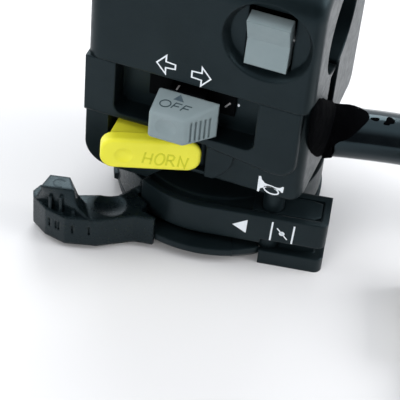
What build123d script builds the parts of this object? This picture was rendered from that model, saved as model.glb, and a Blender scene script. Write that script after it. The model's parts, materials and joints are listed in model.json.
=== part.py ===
from build123d import *
import math
import os

os.makedirs("parts", exist_ok=True)

# Left handlebar switch cluster with a starter lever under it. Millimetres, Z up, X along the handlebar,
# -Y towards the rider. The origin is on the handlebar's axis, at the middle of the housing.

# Handlebar and housing
bar_diameter = 22.2
housing_length = 49.6
wall = 2.4
bore_wall = 2.4
table_z = -56.0
panel_y = -20.4
lower_face_y = -19.0
front_y = 25.0
top_z = 19.0
seam_z = -10.0
lip_z = -35.8
lip_back_y = -16.0
keel_y = 3.8
keel_z = -39.3
keel_front_y = 7.0
keel_front_z = -38.2
front_underside_y = 8.6
front_underside_z = -34.2
front_corner_z = -35.5
foot_z = -41.0
foot_radius = 14.0
floor_wall = 2.0
corner_radius = 3.0
top_radius = 6.0
front_top_radius = 14.0
front_bottom_radius = 5.0
edge_radius = 1.0
lip_radius = 0.8
lobe_right_x = -10.0
lobe_slope = 6.0
lobe_radius = 6.0
hollow_right_x = 5.0
wire_slot_width = 1.6
front_hollow_top = (16.0, 10.0)
front_hollow_back_z = 2.0
bar_radius = bar_diameter / 2
half_length = housing_length / 2
end_x = half_length
keel_slope = (keel_z - lip_z) / (keel_y - lip_back_y)
parting_z = keel_z - keel_slope * keel_y
cavity_radius = bar_radius + bore_wall

# Raised panel, its pocket and the slot of the turn signal slider
ridge_z = -25.4
ridge_bend_x = -3.0
ridge_end_x = 18.0
ridge_end_z = -28.6
panel_right_x = 23.2
panel_corner = 4.0
pocket_left_x = -18.0
pocket_right_x = 13.7
pocket_floor_z = -23.6
pocket_depth = 5.4
pocket_corner = 2.2
plate_thickness = 1.6
plate_y = panel_y + pocket_depth
plate_back_y = plate_y + plate_thickness
slot_centre_x = -2.05
slot_height = 5.4
slot_top_z = -13.4
slide_travel = 5.8
stem_width = 7.0
slide_clearance = 0.15
slot_length = stem_width + 2 * (slide_travel + slide_clearance)
slot_z = slot_top_z - slot_height / 2

# Slider knob, its carrier and detent
knob_left_x = -8.3
knob_right_x = 5.3
knob_back_y = -20.0
knob_front_y = -26.1
knob_ridge_x = -0.2
knob_shoulder_y = -20.6
knob_bottom_z = -22.6
knob_top_back_z = -13.4
knob_top_front_z = -15.4
knob_round = 0.9
knob_dimple_x = -4.2
knob_dimple_z = -18.6
knob_dimple_radius = 6.0
knob_dimple_depth = 0.5
knob_groove_count = 5
knob_groove_pitch = 1.1
knob_groove_width = 0.45
knob_groove_depth = 0.35
shield_half_length = 9.65
shield_top_z = -10.6
shield_bottom_z = -19.4
shield_thickness = 0.6
shield_gap = 0.3
collar_wall = 0.5
carrier_length = 12.6
carrier_thickness = 1.6
ball_radius = 1.15
ball_clearance = 0.05
detent_clearance = 0.1
detent_depth = 4.4
detent_wire = 0.4
carrier_boss_width = 5.2
carrier_boss_gap = 0.6
carrier_bottom_z = -20.4
carrier_top_z = -10.5
carrier_gap = 0.2
board_front_y = -9.3
board_thickness = 1.8
board_top_z = -12.6
board_step_z = -16.2
board_bottom_z = -22.9
board_reach = 16.6
board_lower_reach = 12.1
rail_top_z = -21.1
rail_groove = 0.6
rail_groove_width = 2.2
notch_radius = 0.8
notch_depth = 0.5
terminal_radius = 0.9
terminal_length = 2.2
terminal_spacing = 8.0
terminal_z = -18.0
post_reach = 15.0
post_radius = 1.3
post_z = -14.4

# Horn button, hinged near its right end
horn_right_x = 2.5
horn_right_y = -20.1
horn_left_x = -18.1
horn_left_y = -27.5
horn_bottom_z = -34.0
horn_top_z = -25.7
horn_thickness = 2.8
horn_corner = 3.2
horn_pivot_x = 1.0
horn_pivot_y = -15.6
horn_pin_radius = 1.0
horn_pin_bottom = -35.7
horn_pin_top = -24.4
horn_eye_radius = 2.4
horn_eye_gap = 0.1
horn_face_round = 0.8
horn_dimple_along = 5.1
horn_dimple_z = -30.1
horn_dimple_radius = 4.0
horn_dimple_depth = 0.55
horn_stem_left_x = -17.4
horn_stem_top_z = -26.6
horn_stem_bottom_z = -32.6
horn_stem_back_y = -13.6
horn_recess_left_x = -19.6
horn_recess_right_x = 3.4
horn_recess_clearance = 0.35
pin_clearance = 0.05
horn_spring_x = -13.5
horn_spring_radius = 1.9
horn_spring_wire = 0.5
horn_spring_gap = 0.1
horn_plate_y = -8.6
horn_plate_thickness = 1.6
horn_plate_left_x = -17.5
horn_plate_right_x = -7.0
horn_plate_top_z = -26.2
pad_radius = 9.6
pad_x = -0.1
pad_z = -27.0
pad_height = 0.8

# Dimmer switch in the upper rear housing
dimmer_x = 13.8
dimmer_z = 5.8
dimmer_recess_radius = 9.6
dimmer_recess_depth = 2.2
dimmer_recess_taper = 30.0
dimmer_width = 9.0
dimmer_height = 12.0
dimmer_depth = 5.0
dimmer_valley = 1.5
dimmer_hub_radius = 1.7
dimmer_block_thickness = 0.6
dimmer_stud_radius = 1.2
dimmer_stud_height = 1.0
dimmer_stud_offset = 4.3
dimmer_pivot_y = -16.2
dimmer_pin_radius = 0.9
dimmer_pin_seat = 1.8
dimmer_tilt = 8.0
dimmer_clearance = 0.5
dimmer_well_depth = 6.8

# Loom outlet in the right end
loom_y = 1.8
loom_z = -31.4
loom_angle = 15.3
wrap_radius = 5.1
wrap_inside = 6.0
wrap_outside = 1.7
wrap_overlap = 6.0
wire_radius = 4.4
wire_inside = 20.0
wire_room = 1.0
sleeve_radius = 5.6
route_reach = [1.7, 21.5, 40.0, 58.5, 77.5]
route_side = [0.0, 0.0, 0.0, 0.0, -0.3]
route_height = [-31.4, -31.4, -36.4, -45.0, -50.3]
ring_reach = 94.0
ring_radius = 63.0
ring_points = 10
ring_step = 30.0
connector_width = 20.0
connector_length = 24.0
connector_corner = 1.5
connector_mouth = 15.0
connector_wall = 1.6
blade_pitch = 5.0
blade_thickness = 0.8
blade_width = 2.4
blade_setback = 3.0
bend_share = 0.45
end_slot_rear = 4.6
end_slot_front = 2.6

# Screws and pins
screw_radius = 2.0
screw_head_radius = 3.6
screw_head_height = 2.4
screw_boss_radius = 4.6
lower_screw_x = 19.0
lower_screw_z = -21.0
upper_screw_x = 0.0
upper_screw_z = 14.3
screw_clearance = 0.1
screw_depth = 8.0
screw_seat_depth = 14.0
lower_boss_length = 24.0
upper_boss_length = 15.0
screw_bore_length = 20.0

# Starter lever unit, about its own upright axis
choke_x = 0.9
choke_y = 1.5
base_radius = 24.5
window_base_radius = 23.6
flange_radius = 27.0
flange_top = 4.4
flange_edge = 2.6
base_height = 4.0
base_edge = 2.6
base_foot_radius = 20.0
upstand_inset = 2.2
upstand_wall = 1.4
upstand_top = 9.0
band_bottom = 6.5
band_top = 14.5
band_radius = 24.1
band_wall = 1.7
cover_plate_bottom = 12.5
cover_plate_top = 13.8
cover_pad_radius = 7.0
cover_step_radius = 20.3
cover_step_height = 0.4
tail_angle = 9.5
tail_front = 24.1
tail_back = 14.3
tail_end = 27.6
tail_corner = 1.8
tail_least_corner = 0.3
tail_step = 7.6
tail_wall = 1.6
window_start = 136.0
window_end = 241.3
flange_start = 248.5
flange_end = 295.8
base_notch_start = 208.0
lever_radius = 22.1
lever_bottom = 4.3
lever_top = 12.2
root_radius = 23.6
root_start = 200.0
root_end = 239.5
root_top = 13.6
arm_bottom = 1.5
arm_top = 9.5
arm_inner_radius = 24.9
tab_top = 16.2
dish_x = -16.8
dish_y = -26.6
dish_radius = 8.0
dish_depth = 0.9
rib_places = [(-28.6, 9.0, 13.4), (-26.1, 9.0, 14.1), (-23.1, 9.0, 11.0)]
rib_width = 0.7
rib_length = 1.8
rib_front_y = -33.4
mark_places = [(-28.5, -33.8), (-26.8, -34.15), (-26.1, -34.3), (-22.9, -34.1), (-19.3, -33.1)]
mark_bottom = 4.8
mark_top = 7.2
mark_width = 0.5
mark_depth = 0.35
bush_radius = 5.0
bush_hole_radius = 2.1
hub_clearance = 0.05
choke_screw_radius = 2.0
choke_screw_head = 3.6
choke_screw_head_height = 1.8
choke_screw_recess = 2.2
choke_screw_top = 14.3
washer_inner = 5.3
washer_outer = 8.0
washer_bottom = 11.3
hub_radius = 8.5
hub_top = 11.0
rim_inner = 19.4
web_top = 6.5
cover_boss_radius = 2.6
cover_boss_bottom = 7.0
cover_screw_bottom = 8.0
tail_start = 13.15
plate_window_gap = 0.3
peg_x = 18.8
peg_y = -15.5
peg_radius = 2.4
tail_screw_radius = 1.1
tail_screw_depth = 4.0
tail_screw_head = 1.8
tail_screw_head_height = 1.4
tail_screw_recess = 1.8
tail_post_radius = 3.2
cover_screw_radius = 1.4
cover_screw_head = 2.6
cover_screw_head_height = 1.6
cover_screw_seat = 2.4
cover_screw_places = [(-11.0, -3.2), (10.0, -7.0)]
cable_hole_radius = 1.8
cable_hole_z = 10.0


def choke_plane(height):
    """The plane at a height over the table, centred on the starter lever's axis."""
    return Plane((choke_x, choke_y, table_z + height))


def polar(radius, angle):
    """A point of the starter unit's plan, from its axis."""
    return (radius * math.cos(math.radians(angle)), radius * math.sin(math.radians(angle)))


def sector(inner, outer, start, end):
    """A ring sector of the starter unit's plan."""
    middle = (start + end) / 2
    with BuildSketch() as plan:
        with BuildLine():
            Line(polar(inner, start), polar(outer, start))
            ThreePointArc(polar(outer, start), polar(outer, middle), polar(outer, end))
            Line(polar(outer, end), polar(inner, end))
            ThreePointArc(polar(inner, end), polar(inner, middle), polar(inner, start))
        make_face()
    return plan.sketch


def tail_point(along, offset):
    """A point of the tail, by its distance along the tail and from the axis across it."""
    angle = math.radians(tail_angle)
    return (
        along * math.cos(angle) + offset * math.sin(angle),
        along * math.sin(angle) - offset * math.cos(angle),
    )


def tail_outline(inset, start):
    """The tail's plan, from a distance along it to its end, drawn in by an inset."""
    front = tail_front - inset
    back = tail_back + inset
    end = tail_end - inset
    with BuildSketch() as plan:
        with BuildLine():
            Polyline(
                tail_point(start, front),
                tail_point(end, front),
                tail_point(end, back),
                tail_point(start, back),
                close=True,
            )
        make_face()
        corner = plan.vertices().sort_by_distance(tail_point(end, front) + (0,))[0]
        fillet(corner, radius=max(tail_corner - inset, tail_least_corner))
    return plan.sketch


loom_direction = Vector(math.cos(math.radians(loom_angle)), math.sin(math.radians(loom_angle)), 0)
loom_exit = Vector(end_x, loom_y, loom_z)
loom_plane = Plane(origin=loom_exit, x_dir=(0, 0, 1), z_dir=loom_direction)
screw_places = [
    (-lower_screw_x, lower_screw_z),
    (lower_screw_x, lower_screw_z),
    (upper_screw_x, upper_screw_z),
]


# Upper rear housing: half the bar's bore, the face above the seam and the dimmer's recess
with BuildPart() as rear_upper_housing:
    with BuildSketch(Plane.YZ) as profile:
        with BuildLine():
            Polyline(
                (0, seam_z),
                (panel_y, seam_z),
                (panel_y, top_z),
                (0, top_z),
                close=True,
            )
        make_face()
        fillet(profile.vertices().group_by(Axis.X)[0].sort_by(Axis.Y)[-1], radius=top_radius)
    extrude(amount=half_length, both=True)
    upright = rear_upper_housing.edges().filter_by(Axis.Z).group_by(Axis.Y)[0]
    fillet(upright, radius=corner_radius)
    with BuildSketch(Plane.XZ.offset(-panel_y)):
        with Locations((dimmer_x, dimmer_z)):
            Circle(dimmer_recess_radius)
    extrude(amount=-dimmer_recess_depth, taper=dimmer_recess_taper, mode=Mode.SUBTRACT)
    with BuildSketch(Plane.XZ.offset(-panel_y)):
        with Locations((dimmer_x, dimmer_z)):
            Rectangle(dimmer_width + 2 * dimmer_clearance, dimmer_height + 4 * dimmer_clearance)
    extrude(amount=-dimmer_well_depth, mode=Mode.SUBTRACT)
    with BuildSketch(Plane.YZ.offset(dimmer_x)):
        with Locations((dimmer_pivot_y, dimmer_z)):
            Circle(dimmer_pin_radius)
    extrude(amount=dimmer_width / 2 + dimmer_pin_seat, both=True, mode=Mode.SUBTRACT)
    # Hollow beside the dimmer, with a slot down to the lower half for its wires
    with BuildSketch(Plane.YZ.offset(wall - half_length)):
        with BuildLine():
            Polyline(
                (0, seam_z + wall),
                (panel_y + wall, seam_z + wall),
                (panel_y + wall, top_z - top_radius),
                (panel_y + top_radius, top_z - wall),
                (0, top_z - wall),
                close=True,
            )
        make_face()
        Circle(cavity_radius, mode=Mode.SUBTRACT)
    extrude(amount=half_length - wall + hollow_right_x, mode=Mode.SUBTRACT)
    with BuildSketch(Plane.XY.offset(seam_z)):
        with Locations((0, plate_back_y + wire_slot_width / 2)):
            Rectangle(2 * hollow_right_x, wire_slot_width)
    extrude(amount=wall, mode=Mode.SUBTRACT)
    with BuildSketch(Plane.XZ):
        with Locations((upper_screw_x, upper_screw_z)):
            Circle(screw_boss_radius)
    extrude(amount=screw_depth + wall)
    Cylinder(bar_radius, 2 * housing_length, rotation=(0, 90, 0), mode=Mode.SUBTRACT)
    with BuildSketch(Plane.XZ):
        with Locations((upper_screw_x, upper_screw_z)):
            Circle(screw_radius)
    extrude(amount=screw_depth, mode=Mode.SUBTRACT)

# Lower rear housing: the raised panel with the slider's pocket, the horn button's recess and the loom outlet
with BuildPart() as rear_lower_housing:
    with BuildSketch(Plane.YZ):
        with BuildLine():
            Polyline(
                (0, seam_z),
                (lower_face_y, seam_z),
                (lower_face_y, lip_z),
                (lip_back_y, lip_z),
                (0, parting_z),
                close=True,
            )
        make_face()
    extrude(amount=half_length, both=True)
    upright = rear_lower_housing.edges().filter_by(Axis.Z).group_by(Axis.Y)[0].sort_by(Axis.X)[-1]
    fillet(upright, radius=corner_radius)
    lip_edge = rear_lower_housing.edges().filter_by(Axis.X).group_by(Axis.Y)[0].sort_by(Axis.Z)[0]
    fillet(lip_edge, radius=lip_radius)
    # The left end of the lip hangs lower
    with BuildSketch(Plane.XZ.offset(-lower_face_y)):
        with BuildLine():
            Polyline(
                (-half_length, lip_z + lip_radius),
                (-half_length, foot_z),
                (lobe_right_x, foot_z),
                (lobe_right_x + lobe_slope, lip_z + lip_radius),
                close=True,
            )
        make_face()
    extrude(amount=-wall)
    # Round foot over the starter unit
    with BuildSketch(Plane.XY.offset(foot_z)):
        with Locations((choke_x, choke_y)):
            Circle(foot_radius)
        with Locations((0, half_length)):
            Rectangle(2 * half_length, 2 * half_length, mode=Mode.SUBTRACT)
    extrude(amount=keel_z - foot_z + floor_wall)
    with BuildSketch(Plane.XZ.offset(-panel_y)) as panel:
        with BuildLine():
            Polyline(
                (-half_length, seam_z),
                (-half_length, ridge_z),
                (ridge_bend_x, ridge_z),
                (ridge_end_x, ridge_end_z),
                (panel_right_x, ridge_end_z),
                (panel_right_x, seam_z),
                close=True,
            )
        make_face()
        fillet(panel.vertices().group_by(Axis.Y)[0].sort_by(Axis.X)[-1], radius=panel_corner)
    extrude(amount=panel_y - lower_face_y - edge_radius)
    ridge_edges = rear_lower_housing.edges().filter_by(
        lambda edge: abs(edge.center().Y - panel_y) < 0.01 and edge.center().Z < ridge_z + panel_corner / 2
    )
    fillet(ridge_edges, radius=edge_radius)
    # The left lower corner is well rounded, seen from the rider
    with BuildSketch(Plane.XZ) as left_corner:
        with BuildLine():
            Polyline(
                (-half_length, foot_z + lobe_radius),
                (-half_length, foot_z),
                (-half_length + lobe_radius, foot_z),
            )
            ThreePointArc(
                (-half_length + lobe_radius, foot_z),
                (
                    -half_length + lobe_radius * (1 - math.sqrt(0.5)),
                    foot_z + lobe_radius * (1 - math.sqrt(0.5)),
                ),
                (-half_length, foot_z + lobe_radius),
            )
        make_face()
    extrude(amount=-panel_y + 1, mode=Mode.SUBTRACT)
    # Pocket with the plate behind it, and the slider's slot through the plate
    with BuildSketch(Plane.XZ.offset(-panel_y)) as pocket:
        with BuildLine():
            Polyline(
                (pocket_left_x, seam_z),
                (pocket_left_x, pocket_floor_z),
                (pocket_right_x, pocket_floor_z),
                (pocket_right_x, seam_z),
                close=True,
            )
        make_face()
        fillet(pocket.vertices().group_by(Axis.Y)[0], radius=pocket_corner)
    extrude(amount=-pocket_depth, mode=Mode.SUBTRACT)
    with BuildSketch(Plane.XZ.offset(-panel_y)):
        with Locations((slot_centre_x, slot_z)):
            Rectangle(slot_length, slot_height)
    extrude(amount=-pocket_depth - plate_thickness - 1, mode=Mode.SUBTRACT)
    # Cavity behind the plate, under the bar's wall
    with BuildSketch(Plane.YZ) as cavity:
        with BuildLine():
            Polyline(
                (0, seam_z),
                (plate_back_y, seam_z),
                (plate_back_y, parting_z + keel_slope * plate_back_y + floor_wall),
                (0, parting_z + floor_wall),
                close=True,
            )
        make_face()
        Circle(cavity_radius, mode=Mode.SUBTRACT)
    extrude(amount=half_length - wall, both=True, mode=Mode.SUBTRACT)
    # Raised pad round the horn button's right end
    with BuildSketch(Plane.XZ.offset(-lower_face_y)):
        with Locations((pad_x, pad_z)):
            Circle(pad_radius)
        with Locations((horn_recess_right_x, (ridge_z - edge_radius + lip_z + lip_radius) / 2)):
            Rectangle(
                pad_radius, (ridge_z - edge_radius - lip_z - lip_radius), align=(Align.MIN, Align.CENTER),
                mode=Mode.INTERSECT,
            )
    extrude(amount=pad_height)
    # Recess of the horn button, open to the cavity
    with BuildSketch(Plane.XZ.offset(-panel_y)):
        with Locations(
            (
                (horn_recess_left_x + horn_recess_right_x) / 2,
                (horn_bottom_z + horn_top_z) / 2,
            )
        ):
            Rectangle(
                horn_recess_right_x - horn_recess_left_x,
                horn_top_z - horn_bottom_z + 2 * horn_recess_clearance,
            )
    extrude(amount=-(plate_back_y - panel_y + carrier_gap), mode=Mode.SUBTRACT)
    Cylinder(bar_radius, 2 * housing_length, rotation=(0, 90, 0), mode=Mode.SUBTRACT)
    # Screw bosses
    for place_x, place_z in screw_places[:2]:
        with BuildSketch(Plane.XZ):
            with Locations((place_x, place_z)):
                Circle(screw_boss_radius)
        extrude(amount=-plate_back_y)
        with BuildSketch(Plane.XZ):
            with Locations((place_x, place_z)):
                Circle(screw_radius)
        extrude(amount=screw_depth, mode=Mode.SUBTRACT)
    # End slot and loom outlet
    with BuildSketch(Plane.XZ):
        with Locations((end_x, (loom_z - bar_radius) / 2)):
            Rectangle(2 * wall + 0.01, loom_z * -1 - bar_radius)
    extrude(amount=end_slot_rear, mode=Mode.SUBTRACT)
    with BuildSketch(loom_plane):
        Circle(wrap_radius)
    extrude(amount=wrap_inside, both=True, mode=Mode.SUBTRACT)
    # Posts of the contact board
    for side in (-1, 1):
        with BuildSketch(Plane.XZ.offset(-plate_back_y)):
            with Locations((slot_centre_x + side * post_reach, post_z)):
                Circle(post_radius)
        extrude(amount=plate_back_y - board_front_y)
    # Seats of the horn button's pin, over and under its recess
    with BuildSketch(Plane.XY.offset(lip_z)):
        with Locations((horn_pivot_x, horn_pivot_y)):
            Circle(horn_pin_radius)
    extrude(amount=horn_pin_top - lip_z, mode=Mode.SUBTRACT)
    # Boss that stands on the starter unit's tail
    with BuildSketch(Plane.XY.offset(table_z + cover_plate_top)):
        with Locations((peg_x, peg_y)):
            Circle(peg_radius)
    extrude(amount=lip_z + 1 - table_z - cover_plate_top)
    with BuildSketch(Plane.XY.offset(table_z + cover_plate_top)):
        with Locations((peg_x, peg_y)):
            Circle(tail_screw_radius)
    extrude(amount=tail_screw_depth, mode=Mode.SUBTRACT)
    # Holes and seats of the screws that hold the starter unit's cover, and room for the wires
    with BuildSketch(Plane.XY.offset(foot_z)):
        with Locations(*cover_screw_places):
            Circle(cover_screw_radius)
    extrude(amount=cover_screw_seat, mode=Mode.SUBTRACT)
    with BuildSketch(Plane.XY.offset(foot_z + cover_screw_seat)):
        with Locations(*cover_screw_places):
            Circle(cover_screw_head + screw_clearance)
    extrude(amount=parting_z + floor_wall + wall - foot_z - cover_screw_seat, mode=Mode.SUBTRACT)
    with BuildSketch(loom_plane):
        Circle(wire_radius + screw_clearance)
    extrude(amount=-wire_inside - wire_room, mode=Mode.SUBTRACT)

# Front housing
with BuildPart() as front_housing:
    with BuildSketch(Plane.YZ) as front_profile:
        with BuildLine():
            Polyline(
                (0, parting_z),
                (keel_y, keel_z),
                (keel_front_y, keel_front_z),
                (front_underside_y, front_underside_z),
                (front_y, front_corner_z),
                (front_y, top_z),
                (0, top_z),
                close=True,
            )
        make_face()
        fillet(
            front_profile.vertices().group_by(Axis.X)[-1].sort_by(Axis.Y)[0],
            radius=front_bottom_radius,
        )
        fillet(
            front_profile.vertices().group_by(Axis.X)[-1].sort_by(Axis.Y)[-1],
            radius=front_top_radius,
        )
    extrude(amount=half_length, both=True)
    fillet(
        front_housing.edges().filter_by(Axis.Z).group_by(Axis.Y)[-1],
        radius=corner_radius,
    )
    with BuildSketch(Plane.YZ) as front_cavity:
        with BuildLine():
            Polyline(
                (0, -bar_radius),
                (0, parting_z + floor_wall),
                (keel_y, keel_z + floor_wall),
                (keel_front_y - wall / 2, keel_front_z + floor_wall),
                (front_underside_y - wall / 2, front_underside_z + wall),
                (front_y - wall, front_corner_z + wall),
                (front_y - wall, front_hollow_back_z),
                front_hollow_top,
                close=True,
            )
        make_face()
        Circle(cavity_radius, mode=Mode.SUBTRACT)
    extrude(amount=half_length - wall, both=True, mode=Mode.SUBTRACT)
    with BuildSketch(Plane.XY.offset(foot_z)):
        with Locations((choke_x, choke_y)):
            Circle(foot_radius)
        with Locations((0, -half_length)):
            Rectangle(2 * half_length, 2 * half_length, mode=Mode.SUBTRACT)
    extrude(amount=front_underside_z - foot_z)
    with BuildSketch(Plane.XY.offset(foot_z + floor_wall)):
        with Locations((choke_x, choke_y)):
            Circle(foot_radius - wall)
        with Locations((0, -half_length)):
            Rectangle(2 * half_length, 2 * half_length, mode=Mode.SUBTRACT)
    extrude(amount=front_underside_z + wall - foot_z - floor_wall, mode=Mode.SUBTRACT)
    for place_x, place_z in screw_places:
        with BuildSketch(Plane.XZ):
            with Locations((place_x, place_z)):
                Circle(screw_boss_radius)
        boss_length = lower_boss_length if place_z < 0 else upper_boss_length
        extrude(amount=-boss_length)
        with BuildSketch(Plane.XZ):
            with Locations((place_x, place_z)):
                Circle(screw_radius + screw_clearance)
        extrude(amount=-front_y - 1, mode=Mode.SUBTRACT)
        with BuildSketch(Plane.XZ.offset(-(front_y - screw_seat_depth))):
            with Locations((place_x, place_z)):
                Circle(screw_head_radius + screw_clearance)
        extrude(amount=-screw_bore_length, mode=Mode.SUBTRACT)
    Cylinder(bar_radius, 2 * housing_length, rotation=(0, 90, 0), mode=Mode.SUBTRACT)
    with BuildSketch(Plane.XZ):
        with Locations((end_x, (loom_z - bar_radius) / 2)):
            Rectangle(2 * wall + 0.01, loom_z * -1 - bar_radius)
    extrude(amount=-end_slot_front, mode=Mode.SUBTRACT)
    with BuildSketch(loom_plane):
        Circle(wrap_radius)
    extrude(amount=wrap_inside, both=True, mode=Mode.SUBTRACT)
    with BuildSketch(loom_plane):
        Circle(wire_radius + screw_clearance)
    extrude(amount=-wire_inside - wire_room, mode=Mode.SUBTRACT)


# Slider knob with its stem: flat thumb face at the left, slope at the right, sloping top
knob_run = Vector(knob_right_x - knob_ridge_x, knob_shoulder_y - knob_front_y, 0).normalized()
knob_slope = Plane(
    origin=(
        (knob_ridge_x + knob_right_x) / 2,
        (knob_front_y + knob_shoulder_y) / 2,
        (knob_bottom_z + knob_top_front_z) / 2,
    ),
    x_dir=knob_run,
    z_dir=(knob_run.Y, -knob_run.X, 0),
)
with BuildPart() as slider_knob:
    with BuildSketch(Plane.XY.offset(knob_bottom_z)):
        with BuildLine():
            Polyline(
                (knob_left_x, knob_back_y),
                (knob_right_x, knob_back_y),
                (knob_right_x, knob_shoulder_y),
                (knob_ridge_x, knob_front_y),
                (knob_left_x, knob_front_y),
                close=True,
            )
        make_face()
    extrude(amount=knob_top_back_z - knob_bottom_z)
    with BuildSketch(Plane.YZ.offset(knob_left_x)):
        with BuildLine():
            Polyline(
                (knob_back_y, knob_top_back_z),
                (knob_front_y, knob_top_front_z),
                (knob_front_y, knob_top_back_z),
                close=True,
            )
        make_face()
    extrude(amount=knob_right_x - knob_left_x, mode=Mode.SUBTRACT)
    outer = slider_knob.edges().filter_by(lambda edge: edge.center().Y < knob_shoulder_y - 0.1)
    fillet(outer, radius=knob_round)
    with Locations(
        (knob_dimple_x, knob_front_y - knob_dimple_radius + knob_dimple_depth, knob_dimple_z)
    ):
        Sphere(knob_dimple_radius, mode=Mode.SUBTRACT)
    with BuildSketch(knob_slope):
        with GridLocations(knob_groove_pitch, 1, knob_groove_count, 1):
            Rectangle(knob_groove_width, knob_top_front_z - knob_bottom_z - 2 * knob_round)
    extrude(amount=-knob_groove_depth, mode=Mode.SUBTRACT)
    with BuildSketch(Plane.XZ.offset(-knob_back_y)):
        with Locations((slot_centre_x, slot_z)):
            Rectangle(stem_width, slot_height - 2 * slide_clearance)
    extrude(amount=-(plate_back_y + carrier_gap - knob_back_y))

# Dust shield that rides on the knob's stem and covers the slot
with BuildPart() as slider_shield:
    with BuildSketch(Plane.XZ.offset(-plate_y + shield_gap)):
        with Locations((slot_centre_x, (shield_top_z + shield_bottom_z) / 2)):
            Rectangle(2 * shield_half_length, shield_top_z - shield_bottom_z)
        with Locations((slot_centre_x, slot_z)):
            Rectangle(stem_width, slot_height - 2 * slide_clearance, mode=Mode.SUBTRACT)
    extrude(amount=shield_thickness)
    with BuildSketch(Plane.XZ.offset(-plate_y + shield_gap + shield_thickness)):
        with Locations((slot_centre_x, slot_z)):
            Rectangle(
                stem_width + 2 * collar_wall,
                slot_height - 2 * slide_clearance + 2 * collar_wall,
            )
            Rectangle(stem_width, slot_height - 2 * slide_clearance, mode=Mode.SUBTRACT)
    extrude(amount=plate_y - shield_gap - shield_thickness - knob_back_y)

# Carrier that slides behind the plate, with the detent's bore
carrier_front_y = plate_back_y + carrier_gap
carrier_back_y = board_front_y - carrier_boss_gap
carrier_height = carrier_top_z - carrier_bottom_z
ball_y = (carrier_front_y + carrier_back_y) / 2
ball_z = rail_top_z - rail_groove + detent_clearance + ball_radius
with BuildPart() as slider_carrier:
    with BuildSketch(Plane.XZ.offset(-carrier_front_y)):
        with Locations((slot_centre_x, (carrier_bottom_z + carrier_top_z) / 2)):
            Rectangle(carrier_length, carrier_height)
    extrude(amount=-carrier_thickness)
    with BuildSketch(Plane.XZ.offset(-carrier_front_y)):
        with Locations((slot_centre_x, (carrier_bottom_z + carrier_top_z) / 2)):
            Rectangle(carrier_boss_width, carrier_height)
    extrude(amount=-(carrier_back_y - carrier_front_y))
    with BuildSketch(Plane.XY.offset(carrier_bottom_z)):
        with Locations((slot_centre_x, ball_y)):
            Circle(ball_radius + ball_clearance)
    extrude(amount=detent_depth, mode=Mode.SUBTRACT)

with BuildPart() as detent_ball:
    with Locations((slot_centre_x, ball_y, ball_z)):
        Sphere(ball_radius)

with BuildPart() as detent_spring:
    with BuildSketch(Plane.XY.offset(ball_z + ball_radius)):
        with Locations((slot_centre_x, ball_y)):
            Circle(ball_radius)
            Circle(ball_radius - detent_wire, mode=Mode.SUBTRACT)
    extrude(amount=carrier_bottom_z + detent_depth - ball_z - ball_radius)

# Contact board behind the carrier, with the notched rail that the ball clicks along
with BuildPart() as turn_contact_board:
    with BuildSketch(Plane.XZ.offset(-board_front_y)):
        with Locations((slot_centre_x, (board_top_z + board_step_z) / 2)):
            Rectangle(2 * board_reach, board_top_z - board_step_z)
        with Locations((slot_centre_x, (board_step_z + board_bottom_z) / 2)):
            Rectangle(2 * board_lower_reach, board_step_z - board_bottom_z)
    extrude(amount=-board_thickness)
    with BuildSketch(Plane.XZ.offset(-board_front_y)):
        with Locations((slot_centre_x, (rail_top_z + board_bottom_z) / 2)):
            Rectangle(2 * board_lower_reach, rail_top_z - board_bottom_z)
    extrude(amount=board_front_y - carrier_front_y)
    with BuildSketch(Plane.YZ.offset(slot_centre_x)):
        with Locations((ball_y, rail_top_z)):
            Rectangle(rail_groove_width, 2 * rail_groove)
    extrude(amount=board_lower_reach, both=True, mode=Mode.SUBTRACT)
    with BuildSketch(Plane.XY.offset(rail_top_z - rail_groove)):
        for step in (-1, 0, 1):
            with Locations((slot_centre_x + step * slide_travel, ball_y)):
                Circle(notch_radius)
    extrude(amount=-notch_depth, mode=Mode.SUBTRACT)

with BuildPart() as turn_terminals:
    with BuildSketch(Plane.XZ.offset(-board_front_y - board_thickness)):
        for step in (-1, 0, 1):
            with Locations((slot_centre_x + step * terminal_spacing, terminal_z)):
                Circle(terminal_radius)
    extrude(amount=-terminal_length)

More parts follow.
